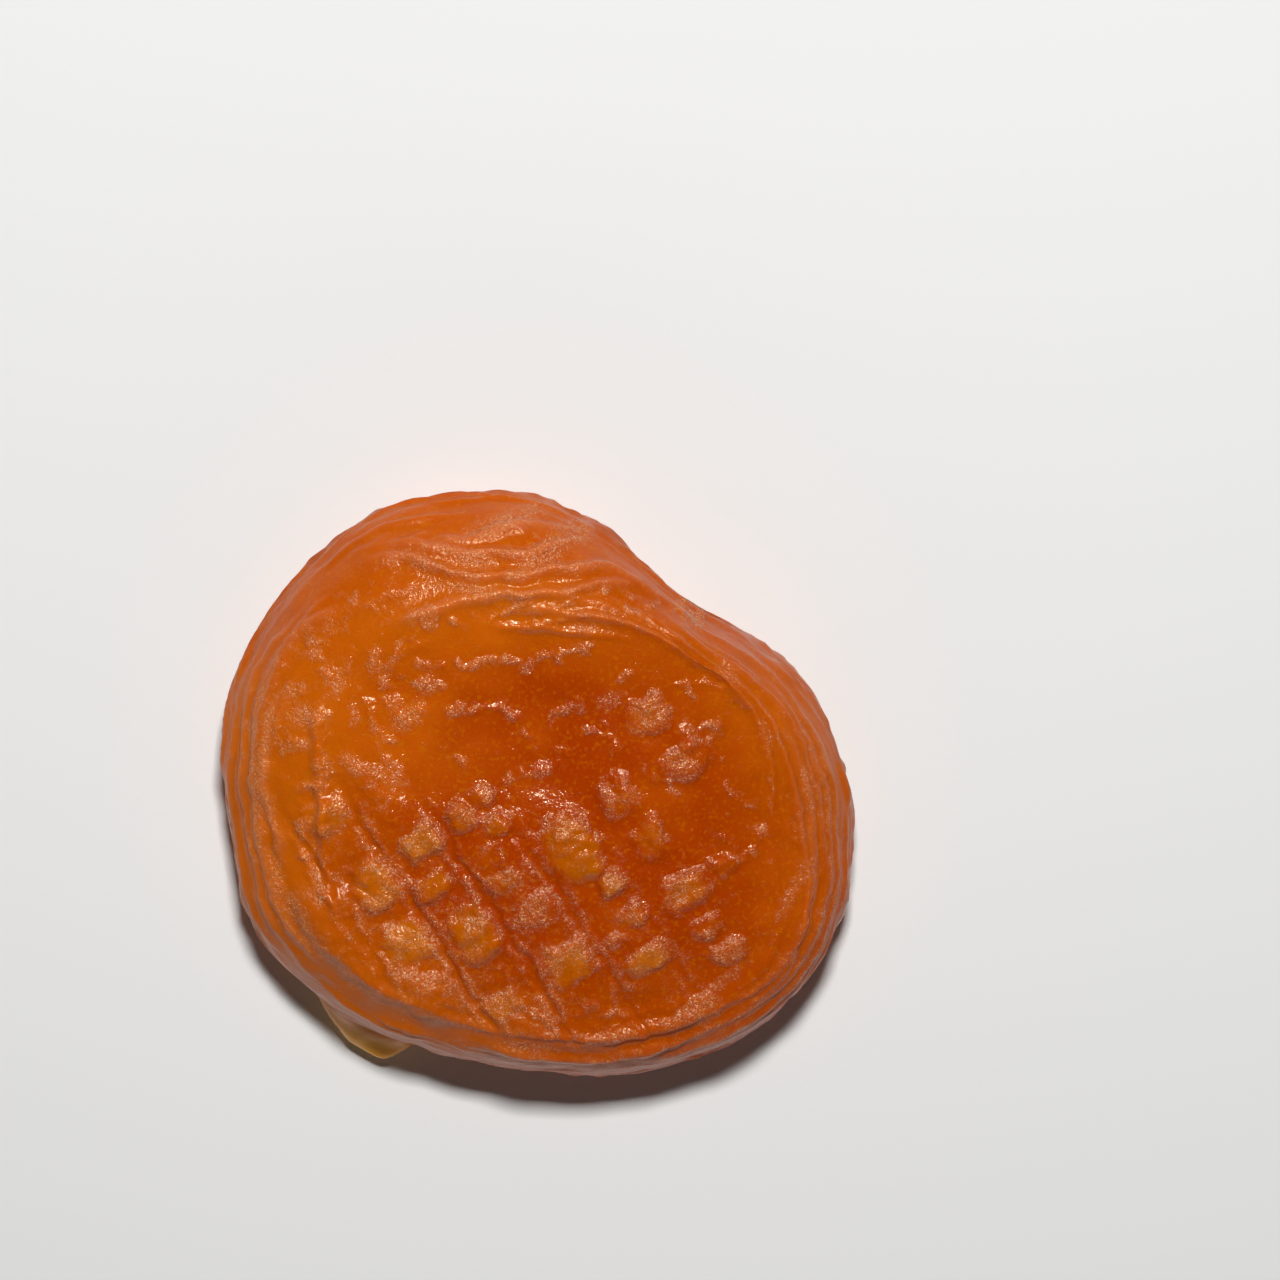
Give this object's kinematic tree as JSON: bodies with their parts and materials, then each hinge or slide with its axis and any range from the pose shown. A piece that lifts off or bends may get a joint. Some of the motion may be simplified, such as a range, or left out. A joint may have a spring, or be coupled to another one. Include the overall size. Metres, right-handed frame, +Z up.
{
  "type": "dried apricot",
  "caption": "Plump dried apricot half lying cut side down, its skin folded round the shoulder and printed by the square mesh of a drying screen.",
  "frame": {"origin": "on the surface the fruit lies on, under the middle of its width and depth", "axes": "+X along the fruit's greatest width, +Y towards the stem end, +Z up through the skin side"},
  "size_m": [0.0466, 0.044, 0.013],
  "materials": {
    "skin": "semi-gloss"
  },
  "bodies": {
    "root": {"dried_apricot": "skin"}
  },
  "joints": []
}
